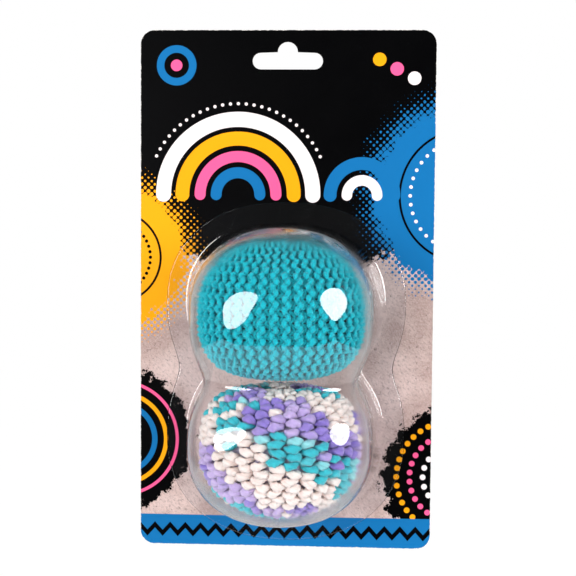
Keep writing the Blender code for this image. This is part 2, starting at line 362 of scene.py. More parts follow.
def grown(name, base_mesh, tree, values):
    """A new object at the origin with the plain mesh that a geometry tree makes from a base mesh."""
    source = linked(name + "_source", base_mesh)
    modifier = source.modifiers.new("grow", "NODES")
    modifier.node_group = tree.group
    for socket in tree.group.interface.items_tree:
        if socket.in_out == "INPUT" and socket.name in values:
            modifier[socket.identifier] = values[socket.name]
    graph = bpy.context.evaluated_depsgraph_get()
    mesh = bpy.data.meshes.new_from_object(source.evaluated_get(graph))
    bpy.data.objects.remove(source)
    mesh.name = name
    return linked(name, mesh)


def placed(obj, body, slot, *nodes):
    """Lets a finished piece ride on its body in the place of CAD nodes."""
    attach(obj, body)
    if nodes:
        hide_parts(*nodes)


# Camera, floor and light


def make_camera():
    angles = (CAMERA_AZIMUTH, CAMERA_ELEVATION, CAMERA_ROLL)
    azimuth, elevation, roll = (math.radians(angle) for angle in angles)
    level = math.cos(elevation)
    out = Vector((math.sin(azimuth) * level, -math.cos(azimuth) * level, math.sin(elevation)))
    right = Vector((math.cos(azimuth), math.sin(azimuth), 0))
    up = out.cross(right)
    across = math.cos(roll) * right + math.sin(roll) * up
    upward = math.cos(roll) * up - math.sin(roll) * right
    data = bpy.data.cameras.new("camera")
    data.sensor_width = SENSOR_WIDTH
    data.lens = FOCAL_PIXELS * SENSOR_WIDTH / IMAGE_PIXELS
    data.shift_x = MIDDLE_PIXELS[0] / IMAGE_PIXELS
    data.shift_y = MIDDLE_PIXELS[1] / IMAGE_PIXELS
    camera = linked("camera", data)
    turn = Matrix((across, upward, out)).transposed().to_4x4()
    camera.matrix_world = Matrix.Translation(CAMERA_TARGET + CAMERA_DISTANCE * out) @ turn
    bpy.context.scene.camera = camera


def make_table():
    """A pale table top that shows white with the pack's soft shadow on it."""
    finish, tree, shader = material("studio_table")
    tree.feed(shader.inputs["Base Color"], (0.86, 0.86, 0.86, 1))
    tree.feed(shader.inputs["Roughness"], 0.9)
    camera_ray, glossy_ray, transmission_ray = tree.rays("Camera", "Glossy", "Transmission")
    share = tree.math("MAXIMUM", camera_ray, tree.math("MAXIMUM", glossy_ray, transmission_ray)) * TABLE_SHARE
    strength = TABLE_GLOW - TABLE_DULLED * glossy_ray
    glow = tree.node("ShaderNodeEmission", {"Color": (1, 1, 1, 1), "Strength": strength})
    tree.blend_surface(share, shader, glow)
    low, _ = CAD_BOX
    level = low.z - TABLE_DROP
    near, far = -TABLE_FRONT, TABLE_BACK
    corners = [(-TABLE_SIDE, near), (TABLE_SIDE, near), (TABLE_SIDE, far), (-TABLE_SIDE, far)]
    mesh = bpy.data.meshes.new("studio_table")
    mesh.from_pydata([(x, y, level) for x, y in corners], [], [(0, 1, 2, 3)])
    mesh.materials.append(finish)
    table = linked("studio_table", mesh)


def make_world():
    """White to the camera and straight through the clear sheet. Mirrored rays show the white wall behind the
    pack and the dim room in front of it."""
    world = bpy.data.worlds.new("studio")
    world.use_nodes = True
    bpy.context.scene.world = world
    tree = Tree(world.node_tree)
    camera_ray, glossy_ray, transmission_ray = tree.rays("Camera", "Glossy", "Transmission")
    mirrorings = tree.get("ShaderNodeLightPath", "Glossy Depth")
    _, backward, _ = tree.separate(tree.get("ShaderNodeTexCoord", "Generated"))
    wall = tree.ramp(backward, 0.55, 0.95, DIM_ROOM, 1.0)
    light = ROOM_LIGHT + tree.math("MAXIMUM", glossy_ray, transmission_ray) * (wall - ROOM_LIGHT)
    seen = tree.math("MAXIMUM", camera_ray, transmission_ray * tree.math("LESS_THAN", mirrorings, 0.5))
    background = world.node_tree.nodes["Background"]
    tree.feed(background.inputs["Color"], (1, 1, 1, 1))
    tree.feed(background.inputs["Strength"], light + seen * (1 - light))


def make_lamp(name, azimuth, elevation, roll, width, height, radiance, glare):
    """A round soft box that faces the pack. Its radiance lights the pack, and its glare is what the sheet
    mirrors."""
    turn, rise = math.radians(azimuth), math.radians(elevation)
    out = Vector((math.sin(turn) * math.cos(rise), -math.cos(turn) * math.cos(rise), math.sin(rise)))
    for part, strength in (("light", radiance), ("glare", glare)):
        data = bpy.data.lights.new(f"{name}_{part}", "AREA")
        data.shape = "ELLIPSE"
        data.size = width
        data.size_y = height
        data.energy = strength * math.pi * width * height * math.pi / 4
        lamp = linked(f"{name}_{part}", data)
        ahead = GLARE_AHEAD if part == "glare" else 0
        lamp.location = CAMERA_TARGET + (LAMP_DISTANCE - ahead) * out
        lamp.rotation_mode = "QUATERNION"
        lamp.rotation_quaternion = out.to_track_quat("Z", "Y") @ Quaternion((0, 0, 1), math.radians(roll))
        lamp.visible_camera = False
        lamp.visible_diffuse = part == "light"
        lamp.visible_glossy = part == "glare"
        lamp.visible_transmission = part == "glare"


# Printed card, drawn in millimetres on the card's front


class Print:
    """The inks laid over each other on the card, each inside a distance field."""

    def __init__(self, tree, x, z, ground):
        self.tree = tree
        self.x = x
        self.z = z
        self.ground = ground

    def lay(self, ink, distance):
        """Prints an ink where a distance is below zero."""
        share = self.tree.ramp(distance, -PRINT_BLUR, PRINT_BLUR, 1.0, 0.0)
        self.ground = self.tree.mix(self.ground, ink, share)

    def length(self, across, up):
        return self.tree.math("SQRT", across * across + up * up)

    def disc(self, centre, radius):
        return self.length(self.x - centre[0], self.z - centre[1]) - radius

    def ring(self, centre, radius, width):
        return self.tree.math("ABSOLUTE", self.disc(centre, radius)) - width / 2

    def held_angle(self, across, up, reach):
        """The angle from straight up, held within a reach in degrees to both sides."""
        limit = math.radians(reach)
        angle = self.tree.math("ARCTAN2", across, up)
        return self.tree.math("MINIMUM", self.tree.math("MAXIMUM", angle, -limit), limit)

    def off_circle(self, across, up, radius, angle):
        """Distance from a circle's point at an angle."""
        across = across - radius * self.tree.math("SINE", angle)
        return self.length(across, up - radius * self.tree.math("COSINE", angle))

    def arch(self, centre, radius, width, reach=90):
        """A round-ended stroke over the top of a circle."""
        across, up = self.x - centre[0], self.z - centre[1]
        return self.off_circle(across, up, radius, self.held_angle(across, up, reach)) - width / 2

    def dots(self, centre, radius, dot, spacing, reach=180):
        """Dots at equal angles along a circle."""
        across, up = self.x - centre[0], self.z - centre[1]
        spacing = math.radians(spacing)
        angle = self.tree.math("SNAP", self.held_angle(across, up, reach) + spacing / 2, spacing)
        return self.off_circle(across, up, radius, angle) - dot

    def halftone(self, edge, spacing, reach):
        """Dots on a slanted grid that shrink with their distance from a shape's edge."""
        first = self.tree.math("FLOORED_MODULO", self.x + self.z, spacing) - spacing / 2
        second = self.tree.math("FLOORED_MODULO", self.x - self.z, spacing) - spacing / 2
        return self.length(first, second) / math.sqrt(2) - 0.36 * spacing * (1 - edge / reach)

    def zigzag(self, height, period, rise, width):
        """A level zigzag line."""
        along = self.tree.math("PINGPONG", self.x, period / 2) / (period / 2)
        off_line = self.tree.math("ABSOLUTE", self.z - height - (along - 0.5) * rise)
        return off_line / math.hypot(1, 2 * rise / period) - width / 2


def print_card(tree, x, z, stone):
    """A generic design in the pack's colours: arches that bounce over a dark header, frayed discs and a blue
    foot."""
    card_print = Print(tree, x, z, stone)
    lay = card_print.lay
    fray = tree.noise(tree.combine(x, 0.0, z), 0.24, 6.0, 0.74) - 0.5
    lay(BLACK, card_print.disc(HEADER_CENTRE, HEADER_RADIUS) + HEADER_FRAY * fray)
    for ink, other, centre, radius in ((AMBER, BLACK, (-60, -68), 24), (BLUE, WHITE, (62, -46), 31)):
        edge = card_print.disc(centre, radius) + DISC_FRAY * fray
        lay(ink, card_print.halftone(edge, 2.3, 9))
        lay(ink, edge)
        lay(BLACK, card_print.ring(centre, radius - 8.0, 0.8))
        lay(other, card_print.dots(centre, radius - 11.6, 0.6, 9))
    for ink, radius, width in ((WHITE, 26, 5.2), (AMBER, 19.4, 4.8), (PINK, 13.2, 3.8), (BLUE, 7.6, 3.8)):
        lay(ink, card_print.arch(HIGH_BOUNCE, radius, width))
    for ink, radius, width in ((BLUE, 11, 4.4), (WHITE, 5.2, 3.6)):
        lay(ink, card_print.arch(LOW_BOUNCE, radius, width))
    lay(WHITE, card_print.dots(HIGH_BOUNCE, 31.4, 0.55, 5, 65))
    lay(BLUE, card_print.ring(TARGET_SPOT, 5.6, 2.6))
    lay(PINK, card_print.disc(TARGET_SPOT, 2.0))
    for ink, spot in ((AMBER, (31.6, 0.6)), (PINK, (37.6, -2.6)), (WHITE, (43.6, -5.8))):
        lay(ink, card_print.disc(spot, 2.3))
    lay(BLACK, card_print.disc(LEFT_PATCH, PATCH_RADIUS) + PATCH_FRAY * fray)
    for ink, radius, width in ((PINK, 20, 1.1), (AMBER, 16, 1.5), (BLUE, 12, 1.9)):
        lay(ink, card_print.ring(LEFT_PATCH, radius, width))
    lay(BLACK, card_print.disc(RIGHT_PATCH, PATCH_RADIUS) + PATCH_FRAY * fray)
    for ink, radius, dot, spacing in ((AMBER, 20, 1.0, 9), (PINK, 15.4, 1.0, 12), (WHITE, 10.8, 1.0, 18)):
        lay(ink, card_print.dots(RIGHT_PATCH, radius, dot, spacing))
    lay(BLUE, z - FOOT_BAND_TOP)
    lay(BLACK, card_print.zigzag(FOOT_BAND_MIDDLE, 5.4, 3.0, 1.5))
    return card_print.ground


def make_card_finish():
    """Varnished print on the front, bare recycled board on the back, and its pale core on the cut edges."""
    finish, tree, shader = material("printed_board")
    place = tree.get("ShaderNodeTexCoord", "Object")
    x, y, z = (axis * 1000 for axis in tree.separate(place))
    spot = tree.combine(x, y, z)
    cloud = tree.noise(spot, 0.05, 5.0, 0.62)
    grit = tree.noise(spot, 0.9, 4.0, 0.75)
    fine = tree.noise(spot, 4.2, 2.0, 0.6)
    grain = tree.noise(tree.combine(x + z, 0.0, (x - z) * 0.4), 1.1, 4.0, 0.8)
    stone = tree.mix(srgb(188, 160, 153), srgb(224, 198, 192), tree.ramp(cloud, 0.36, 0.64))
    stone = tree.mix(stone, srgb(146, 122, 116), tree.ramp(grain, 0.46, 0.70, 0.0, 0.75))
    stone = tree.mix(stone, srgb(238, 220, 214), tree.ramp(fine, 0.54, 0.70, 0.0, 0.7))
    stone = tree.mix(stone, srgb(104, 88, 86), tree.ramp(grit, 0.60, 0.68, 0.0, 0.8))
    printed = print_card(tree, x, z, stone)

    low, high = (corner * 1000 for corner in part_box("backing_card"))
    across = tree.math("ABSOLUTE", x) - high.x + CARD_CORNER
    up = tree.math("ABSOLUTE", z - (low.z + high.z) / 2) - (high.z - low.z) / 2 + CARD_CORNER
    past_across, past_up = tree.math("MAXIMUM", across, 0.0), tree.math("MAXIMUM", up, 0.0)
    rim = CARD_CORNER - tree.math("SQRT", past_across * past_across + past_up * past_up)
    nick = tree.noise(spot, 0.7, 4.0, 0.8) * 0.9 - rim
    board = srgb(222, 216, 208)
    printed = tree.mix(printed, board, tree.ramp(nick, 0.36, 0.44))

    fibre = tree.noise(tree.combine(x * 0.5, y, z * 2.4), 1.7, 4.0, 0.7)
    bare = tree.mix(srgb(198, 190, 180), srgb(226, 220, 212), tree.ramp(fibre, 0.35, 0.65))
    bare = tree.mix(bare, srgb(120, 112, 104), tree.ramp(grit, 0.66, 0.72, 0.0, 0.6))
    front = tree.ramp(y, low.y + 0.05, low.y + 0.12, 1.0, 0.0)
    tree.feed(shader.inputs["Base Color"], tree.mix(bare, printed, front))
    varnish = tree.ramp(cloud, 0.3, 0.7, 0.36, 0.46)
    tree.feed(shader.inputs["Roughness"], 0.85 + front * (varnish - 0.85))
    tree.feed(shader.inputs["Specular IOR Level"], 0.03)
    tree.feed(shader.inputs["Normal"], tree.bump(0.25, 0.03 * MM, fine + fibre * (1 - front)))
    return finish


# Clear blister


class Outline:
    """An outline in the card's plane: two round lobes, one for each footbag, that run together at a waist."""

    def __init__(self, sizes, end_shape, waist_shape, blend):
        self.half_width, self.top_half, self.foot_half = sizes
        self.end_shape = end_shape
        self.waist_shape = waist_shape
        self.blend = blend
        self.reaches = [self.reach(direction) for direction in range(BLISTER_DIRECTIONS)]

    def lobe(self, x, rise, half_height):
        shape = self.end_shape if rise > 0 else self.waist_shape
        return (abs(x / self.half_width) ** shape + abs(rise / half_height) ** shape) ** (1 / shape)

    def share(self, x, z):
        """0 at a lobe's centre and 1 on the outline."""
        upper_share = self.lobe(x, z - upper.centre.z, self.top_half)
        lower_share = self.lobe(x, lower.centre.z - z, self.foot_half)
        nearer, farther = min(upper_share, lower_share), max(upper_share, lower_share)
        return nearer * (1 + (nearer / farther) ** self.blend) ** (-1 / self.blend)

    def place(self, direction, distance):
        angle = math.tau * direction / BLISTER_DIRECTIONS
        return distance * math.cos(angle), WAIST_HEIGHT + distance * math.sin(angle)

    def reach(self, direction):
        """Distance from the waist to the outline in one direction, found by halving."""
        near, far = 0, self.half_width + self.top_half + self.foot_half
        for _ in range(OUTLINE_HALVINGS):
            middle = (near + far) / 2
            if self.share(*self.place(direction, middle)) < 1:
                near = middle
            else:
                far = middle
        return near


def blister_face():
    """The sheet's outer face: the waist point, rings over domes, wall and flange, and the flange's depth."""
    face = CARD_FACE - SEAL_GAP - SHEET
    bag_radius = max(upper.radius, lower.radius)
    shoulder_height = CARD_CLEARANCE - SEAL_GAP + bag_radius
    crown_height = bag_radius + BAG_ROOM
    halves = (bag_radius, upper.half_height * upper.stretch(1), lower.half_height * lower.stretch(-1))
    close_sizes = [half + BAG_ROOM + SHEET for half in halves]
    foot_sizes = [size + flare for size, flare in zip(close_sizes, FLARES)]
    shoulder_sizes = [size + change for size, change in zip(close_sizes, SHOULDER_CHANGES)]
    shoulder = Outline(shoulder_sizes, FREE_END_SHAPE, PRESSED_END_SHAPE, DOME_BLEND)
    foot = Outline(foot_sizes, FLANGE_SHAPE, FLANGE_SHAPE, FLANGE_BLEND)
    rim = Outline([size + FLANGE_MARGIN for size in foot_sizes], FLANGE_SHAPE, FLANGE_SHAPE, FLANGE_BLEND)

    def dome_point(direction, out_share):
        x, z = shoulder.place(direction, out_share * shoulder.reaches[direction])
        out = min(1, shoulder.share(x, z))
        lower_share = min(1, max(0, 0.5 + (WAIST_HEIGHT - z) / (2 * CROWN_CHANGE)))
        shape = UPPER_CROWN_SHAPE + (LOWER_CROWN_SHAPE - UPPER_CROWN_SHAPE) * lower_share
        return Vector((x, face - shoulder_height - crown_height * (1 - out**shape) ** (1 / shape), z))

    def wall_point(direction, down_share):
        narrow, wide = shoulder.reaches[direction], foot.reaches[direction]
        x, z = foot.place(direction, narrow + (wide - narrow) * down_share**FLARE_SHAPE)
        return Vector((x, face - shoulder_height * (1 - down_share), z))

    def bend_point(direction, along):
        """A round bend from the wall into the flange."""
        start = wall_point(direction, 1 - BEND_SIZE / shoulder_height)
        corner = wall_point(direction, 1)
        x, z = foot.place(direction, foot.reaches[direction] + BEND_SIZE)
        end = Vector((x, face, z))
        return start * (1 - along) ** 2 + corner * 2 * along * (1 - along) + end * along**2

    directions = range(BLISTER_DIRECTIONS)
    rings = []
    for step in range(1, DOME_RINGS + 1):
        out_share = 1 - (1 - step / DOME_RINGS) ** DOME_SPACING_SHAPE
        rings.append([dome_point(direction, out_share) for direction in directions])
    for step in range(1, WALL_RINGS):
        down_share = (1 - BEND_SIZE / shoulder_height) * step / WALL_RINGS
        rings.append([wall_point(direction, down_share) for direction in directions])
    for step in range(BEND_RINGS + 1):
        rings.append([bend_point(direction, step / BEND_RINGS) for direction in directions])
    for share in FLANGE_RINGS:
        ring = []
        for direction in directions:
            start = foot.reaches[direction] + BEND_SIZE
            x, z = rim.place(direction, start + (rim.reaches[direction] - start) * share)
            ring.append(Vector((x, face, z)))
        rings.append(ring)
    return dome_point(0, 0), rings, face


def forming_wave(point, face):
    """How far the thin sheet dips here, as it does where it was stretched over the mould."""
    height = min(1, (face - point.y) / WAVE_RISE)
    return WAVE_DEPTH * height * (0.5 + 0.5 * noise.noise(point / WAVE_LENGTH))


def make_blister(finish):
    waist, rings, face = blister_face()
    work = bmesh.new()
    stretch = work.verts.layers.float.new("stretch")
    centre = work.verts.new(waist)
    rows = [[work.verts.new(point) for point in ring] for ring in rings]
    for number, row in enumerate(rows):
        rise = min(1, max(0, (number - HAZE_RING) / (DOME_RINGS - HAZE_RING)))
        fall = min(1, max(0, (DOME_RINGS + WALL_RINGS - number) / WALL_RINGS))
        for vertex in row:
            vertex[stretch] = rise * fall
    for side in range(BLISTER_DIRECTIONS):
        following = (side + 1) % BLISTER_DIRECTIONS
        work.faces.new((centre, rows[0][side], rows[0][following]))
        for inner, outer in zip(rows, rows[1:]):
            work.faces.new((inner[side], outer[side], outer[following], inner[following]))
    bmesh.ops.recalc_face_normals(work, faces=work.faces)
    if centre.link_faces[0].normal.y > 0:
        bmesh.ops.reverse_faces(work, faces=work.faces)
    work.normal_update()
    for vertex in work.verts:
        vertex.co -= vertex.normal * forming_wave(vertex.co, face)
    return walled("formed_blister", work, finish, SHEET)


def make_clear_finish():
    """Clear sheet that bends what is seen through it and lets the lamps' light pass to what it covers."""
    finish, tree, shader = material("clear_sheet")
    place = tree.get("ShaderNodeTexCoord", "Object")
    tree.feed(shader.inputs["Base Color"], (0.985, 0.99, 1.0, 1))
    tree.feed(shader.inputs["Transmission Weight"], 1.0)
    tree.feed(shader.inputs["IOR"], 1.5)
    smear = tree.noise(place, 90.0, 3.0, 0.6)
    stretch = tree.get("ShaderNodeAttribute", "Fac", attribute_name="stretch")
    haze = tree.ramp(smear, 0.45, 0.75, 0.015, 0.06) + stretch * tree.ramp(smear, 0.3, 0.7, 0.22, 0.34)
    tree.feed(shader.inputs["Roughness"], haze)
    drawn_out = {"Vector": place, "Rotation": (0.3, 0.9, 0.5), "Scale": (1.0, 1.0, 0.04)}
    scratch = tree.noise(tree.get("ShaderNodeMapping", 0, drawn_out), 2600.0, 2.0, 0.5)
    tree.feed(shader.inputs["Normal"], tree.bump(0.12, 0.01 * MM, tree.ramp(scratch, 0.66, 0.72)))
    shadow_ray, diffuse_ray = tree.rays("Shadow", "Diffuse")
    clear = tree.node("ShaderNodeBsdfTransparent", {"Color": (0.95, 0.96, 0.97, 1)})
    tree.blend_surface(tree.math("MAXIMUM", shadow_ray, diffuse_ray), shader, clear)
    return finish


# Footbags


class Footbag:
    """One footbag's sizes, read from the box of its cover's CAD node."""

    def __init__(self, name, rows, stitches, points, yarn, pressed_end):
        low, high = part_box(name + "_knitted_cover")
        self.name = name
        self.body = name + "_footbag"
        self.rows = rows
        self.stitches = stitches
        self.points = points
        self.yarn = yarn
        self.pressed_end = pressed_end
        self.centre = (low + high) / 2
        self.radius = (high.x - low.x) / 2
        self.half_height = (high.z - low.z) / 2

    def bulge(self, inset, distance, end):
        """Height of a rounded end with a dimple at its pole, before its stretch to the bag's half height."""
        shape = PRESSED_END_SHAPE if end == self.pressed_end else FREE_END_SHAPE
        radius, half_height = self.radius - inset, self.half_height - inset
        height = half_height * (1 - min(1, distance / radius) ** shape) ** (1 / shape)
        return height - DIMPLE_DEPTH * max(0, 1 - (distance / DIMPLE_RADIUS) ** 2) ** 2

    def stretch(self, end):
        """What brings the crown round a pole's dimple up to the half height."""
        crown = max(self.bulge(0, self.radius * step / CROWN_STEPS, end) for step in range(CROWN_STEPS))
        return self.half_height / crown

    def meridian(self, inset, count):
        """Points in the XZ plane from the top opening to the foot opening, inset under the outside."""
        first = math.asin(POLE_OPENING / self.radius)
        points = []
        for row in range(count + 1):
            angle = first + (math.pi - 2 * first) * row / count
            end = 1 if angle < math.pi / 2 else -1
            distance = (self.radius - inset) * math.sin(angle)
            points.append((distance, 0, end * self.bulge(inset, distance, end) * self.stretch(end)))
        return points


def polyline(name, points, closed=False):
    """A mesh of edges along points."""
    mesh = bpy.data.meshes.new(name)
    edges = [(step, step + 1) for step in range(len(points) - 1)]
    if closed:
        edges.append((len(points) - 1, 0))
    mesh.from_pydata(points, edges, [])
    return mesh


def spin_yarn(tree, curve, diameter, squeeze, finish):
    """Adds the nodes that spin plied yarn along a curve. The squeeze is a share of its diameter."""
    circle = tree.get("GeometryNodeCurvePrimitiveCircle", 0, {"Resolution": PROFILE_POINTS, "Radius": 1.0})
    index = tree.get("GeometryNodeInputIndex")
    lobe = tree.math("COSINE", index * (math.tau * PLIES / PROFILE_POINTS))
    swell = (1 - PLY_BULGE_SHARE) + PLY_BULGE_SHARE * lobe
    around = tree.get("GeometryNodeInputPosition")
    circle = tree.stored(circle, "yarn_section", around, "FLOAT_VECTOR")
    lobed = {"Geometry": circle, "Position": tree.scaled(around, swell)}
    profile = tree.get("GeometryNodeSetPosition", 0, lobed)
    length = tree.get("GeometryNodeSplineParameter", "Length")
    curve = tree.stored(curve, "yarn_length", length, "FLOAT")
    twist = length * (math.tau / PLY_LENGTH_SHARE) / diameter
    curve = tree.get("GeometryNodeSetCurveTilt", 0, {"Curve": curve, "Tilt": twist})
    place = tree.scaled(around, tree.math("DIVIDE", SLUBS_PER_YARN, diameter))
    slub = 1 + SLUB_DEPTH * (tree.noise(place, 1.0, 1.0) - 0.5)
    scale = diameter * 0.5 * squeeze * slub
    skin = {"Curve": curve, "Profile Curve": profile, "Scale": scale, "Fill Caps": True}
    yarn = tree.get("GeometryNodeCurveToMesh", 0, skin)
    yarn = tree.get("GeometryNodeSetShadeSmooth", 0, {0: yarn})
    yarn = tree.get("GeometryNodeRealizeInstances", 0, {0: yarn})
    return tree.get("GeometryNodeSetMaterial", 0, {"Geometry": yarn, "Material": finish})


def short_dyed(tree, row, leg, rows, stitches, seed):
    """The colour of one leg of a loop. The yarn's dyed lengths repeat while it is knitted row after row."""
    angle = (row + 0.5) * math.tau / rows
    level = DYE_HEIGHT * (leg + 0.5) / (2 * stitches)
    spot = tree.combine(DYE_WIDTH * tree.math("COSINE", angle), DYE_WIDTH * tree.math("SINE", angle), level)
    blot = {"Vector": spot, "W": seed, "Scale": 1.0, "Detail": 1.0}
    warp, _, tint = tree.separate(tree.get("ShaderNodeTexNoise", "Color", blot, noise_dimensions="4D"))
    own_spot = {"Vector": tree.combine(row, leg, 0.0)}
    stray = tree.get("ShaderNodeTexWhiteNoise", 0, own_spot, noise_dimensions="3D")
    length = (row * LEGS_PER_ROW + leg) / LEGS_PER_REPEAT
    phase = tree.math("FRACT", length + DYE_START + DYE_WARP * (warp - 0.5) + DYE_STRAY * (stray - 0.5))
    purple = tree.mix(PURPLE, LILAC, tree.ramp(tint, 0.44, 0.58))
    teal = tree.mix(TEAL, AQUA, tree.ramp(stray, 0.80, 0.95, 0.0, 0.8))
    light = tree.mix(CREAM, purple, tree.math("GREATER_THAN", phase, CREAM_UNTIL))
    return tree.mix(light, teal, tree.math("LESS_THAN", phase, TEAL_UNTIL))


def make_knit_tree():
    """Garter knitting wound round the vertical axis. Each row of loops runs from pole to pole, two legs to a
    stitch. With turning 1 the rows face out and in by turns, and with turning 0 each leg is a lump."""
    floats = (
        "Yarn diameter", "Loop depth", "Loop reach", "Tip width", "Leg fall", "Crossing fall", "Valley fall",
        "Turning", "Stagger", "Bump swell", "Leg swell", "Sway", "Slack", "Dye seed", "Widening",
    )
    sizes = {label: "Int" for label in ("Rows", "Stitches", "Points per stitch", "Seed")}
    sizes.update({label: "Float" for label in floats})
    sizes.update({"Centre": "Vector", "Finish": "Material"})
    tree, size, out = geometry_tree("garter_knit", sizes)
    rows, stitches, points = size["Rows"], size["Stitches"], size["Points per stitch"]
    row_points = stitches * points + 1
    cloud = tree.get("GeometryNodePoints", 0, {"Count": rows * row_points})
    index = tree.get("GeometryNodeInputIndex")
    row = tree.math("FLOOR", (index + 0.5) / row_points)
    step = index - row * row_points
    stitch = step / points
    turn = stitch * math.tau
    odd = tree.math("FLOORED_MODULO", row, 2.0)

    spot = tree.combine(row * 0.83, stitch * 0.71, size["Seed"] * 7.3)
    wander = tree.get("ShaderNodeTexNoise", "Color", {"Vector": spot, "Scale": 1.0, "Detail": 1.0})
    slack_along, slack_across, slack_depth = (axis - 0.5 for axis in tree.separate(wander))

    width = size["Tip width"] * tree.math("SINE", turn * 2)
    factor = (stitch + width + size["Stagger"] * (odd - 0.5) + size["Slack"] * slack_along) / stitches
    path = tree.get("GeometryNodeMeshToCurve", 0, {0: size["Geometry"]})
    sampled = {"Curves": path, "Factor": factor}
    sample = tree.node("GeometryNodeSampleCurve", sampled, mode="FACTOR", use_all_curves=True)
    distance, _, height = tree.separate(Wire(tree, sample.outputs["Position"]))
    tangent_x, _, tangent_z = tree.separate(Wire(tree, sample.outputs["Tangent"]))

    sway = size["Sway"] * tree.math("SINE", turn) + size["Slack"] * slack_across
    across = row + 0.5 - size["Loop reach"] * tree.math("COSINE", turn) + sway
    angle = across * math.tau / rows
    side = 1 - 2 * odd * size["Turning"]
    leg, crossing, valley = size["Leg fall"], size["Crossing fall"], size["Valley fall"]
    wave = side * (leg * tree.math("COSINE", turn) + crossing * tree.math("COSINE", turn * 3))
    fall = 1 - wave - valley * tree.math("COSINE", turn * 2)
    swell = size["Bump swell"]
    depth = size["Loop depth"] * (fall + size["Slack"] * (slack_depth + 0.5))
    rise = -depth - size["Yarn diameter"] * 0.5 * (1 + swell + size["Leg swell"])
    reach = distance - tangent_z * rise
    level = height + tangent_x * rise
    sideways = size["Widening"] * reach * tree.math("COSINE", angle)
    spot = tree.combine(sideways, reach * tree.math("SINE", angle), level)
    spot = tree.get("ShaderNodeVectorMath", 0, {0: spot, 1: size["Centre"]}, operation="ADD")
    cloud = tree.get("GeometryNodeSetPosition", 0, {"Geometry": cloud, "Position": spot})

    dye = short_dyed(tree, row, tree.math("FLOOR", stitch * 2), rows, stitches, size["Dye seed"])
    cloud = tree.stored(cloud, "dye", dye, "FLOAT_COLOR")
    pitch = distance * math.tau / rows
    thickness = 1 + swell * side * tree.math("COSINE", turn)
    thickness = thickness - size["Leg swell"] * tree.math("COSINE", turn * 2)
    squeeze = tree.ramp(pitch / size["Yarn diameter"], 0.2, 0.95, 0.62, 1.0) * thickness
    cloud = tree.stored(cloud, "squeeze", squeeze, "FLOAT")
    threaded = {"Points": cloud, "Curve Group ID": row, "Weight": step}
    curves = tree.get("GeometryNodePointsToCurves", 0, threaded)
    squeezed = tree.get("GeometryNodeInputNamedAttribute", 0, {"Name": "squeeze"}, data_type="FLOAT")
    yarn = spin_yarn(tree, curves, size["Yarn diameter"], squeezed, size["Finish"])
    tree.feed(out, yarn)
    return tree


def make_fibre_group():
    """Fibres twisted into plies, for every yarn. They vary and roughen a colour along the yarn's length, and
    darken the grooves between the plies with painted shade.
    """
    group = bpy.data.node_groups.new("yarn_fibre", "ShaderNodeTree")
    sides = (("INPUT", ("Contrast", "Ply shade", "Fibre length")), ("OUTPUT", ("Height", "Roughness")))
    for side, labels in sides:
        group.interface.new_socket("Colour", in_out=side, socket_type="NodeSocketColor")
        for label in labels:
            group.interface.new_socket(label, in_out=side, socket_type="NodeSocketFloat")
    tree = Tree(group)
    entry, out = tree.node("NodeGroupInput"), tree.node("NodeGroupOutput")
    colour, contrast, ply_shade, fibre_length = (Wire(tree, entry.outputs[slot]) for slot in range(4))
    section = tree.get("ShaderNodeAttribute", "Vector", attribute_name="yarn_section")
    length = tree.get("ShaderNodeAttribute", "Fac", attribute_name="yarn_length")
    x, y, _ = tree.separate(section)
    strands = tree.noise(tree.combine(x * 4.5, y * 4.5, length / fibre_length), 1.0, 3.0, 0.65)
    groove = 0.5 - 0.5 * (4 * x * x * x - 3 * x)
    # Ply shade darkens the colour in the grooves between the plies: painted shade in the creases, on top of
    # the shading of the lobed section.
    tone = tree.math("MINIMUM", 1.20 + contrast * (strands - 0.5) - ply_shade * groove, 0.98)
    pale = tree.ramp(strands, 0.62, 0.85, 0.0, 0.15)
    tree.feed(out.inputs["Colour"], tree.mix(tree.scaled(colour, tone), (1, 1, 1, 1), pale))
    tree.feed(out.inputs["Height"], strands + 0.6 * (1 - groove))
    tree.feed(out.inputs["Roughness"], 0.78 + 0.2 * strands)
    return group


def make_yarn_finish(name, fibre_group, dye, sheen, soft):
    """Fluffy acrylic yarn. The dye is a colour, or the name of the attribute that holds it. Soft is how much
    of the light goes round inside the fluff."""
    finish, tree, shader = material(name)
    fibre = tree.node("ShaderNodeGroup", node_tree=fibre_group)
    colour = tree.get("ShaderNodeAttribute", "Color", attribute_name=dye) if isinstance(dye, str) else dye
    tree.feed(fibre.inputs["Colour"], colour)
    tree.feed(fibre.inputs["Contrast"], 0.85)
    # Strength of the painted shade in the grooves between the plies.
    tree.feed(fibre.inputs["Ply shade"], 0.30)
    tree.feed(fibre.inputs["Fibre length"], 1.6 * MM)
    tree.feed(shader.inputs["Base Color"], Wire(tree, fibre.outputs["Colour"]))
    tree.feed(shader.inputs["Roughness"], Wire(tree, fibre.outputs["Roughness"]))
    tree.feed(shader.inputs["Normal"], tree.bump(0.8, 0.20 * MM, Wire(tree, fibre.outputs["Height"])))
    tree.feed(shader.inputs["Subsurface Weight"], soft)
    tree.feed(shader.inputs["Subsurface Radius"], (1.0, 0.9, 0.9))
    tree.feed(shader.inputs["Subsurface Scale"], YARN_GLOW_DEPTH)
    tree.feed(shader.inputs["Sheen Weight"], 0.3)
    tree.feed(shader.inputs["Sheen Roughness"], 0.45)
    tree.feed(shader.inputs["Sheen Tint"], sheen)
    tree.feed(shader.inputs["Specular IOR Level"], 0.15)
    return finish


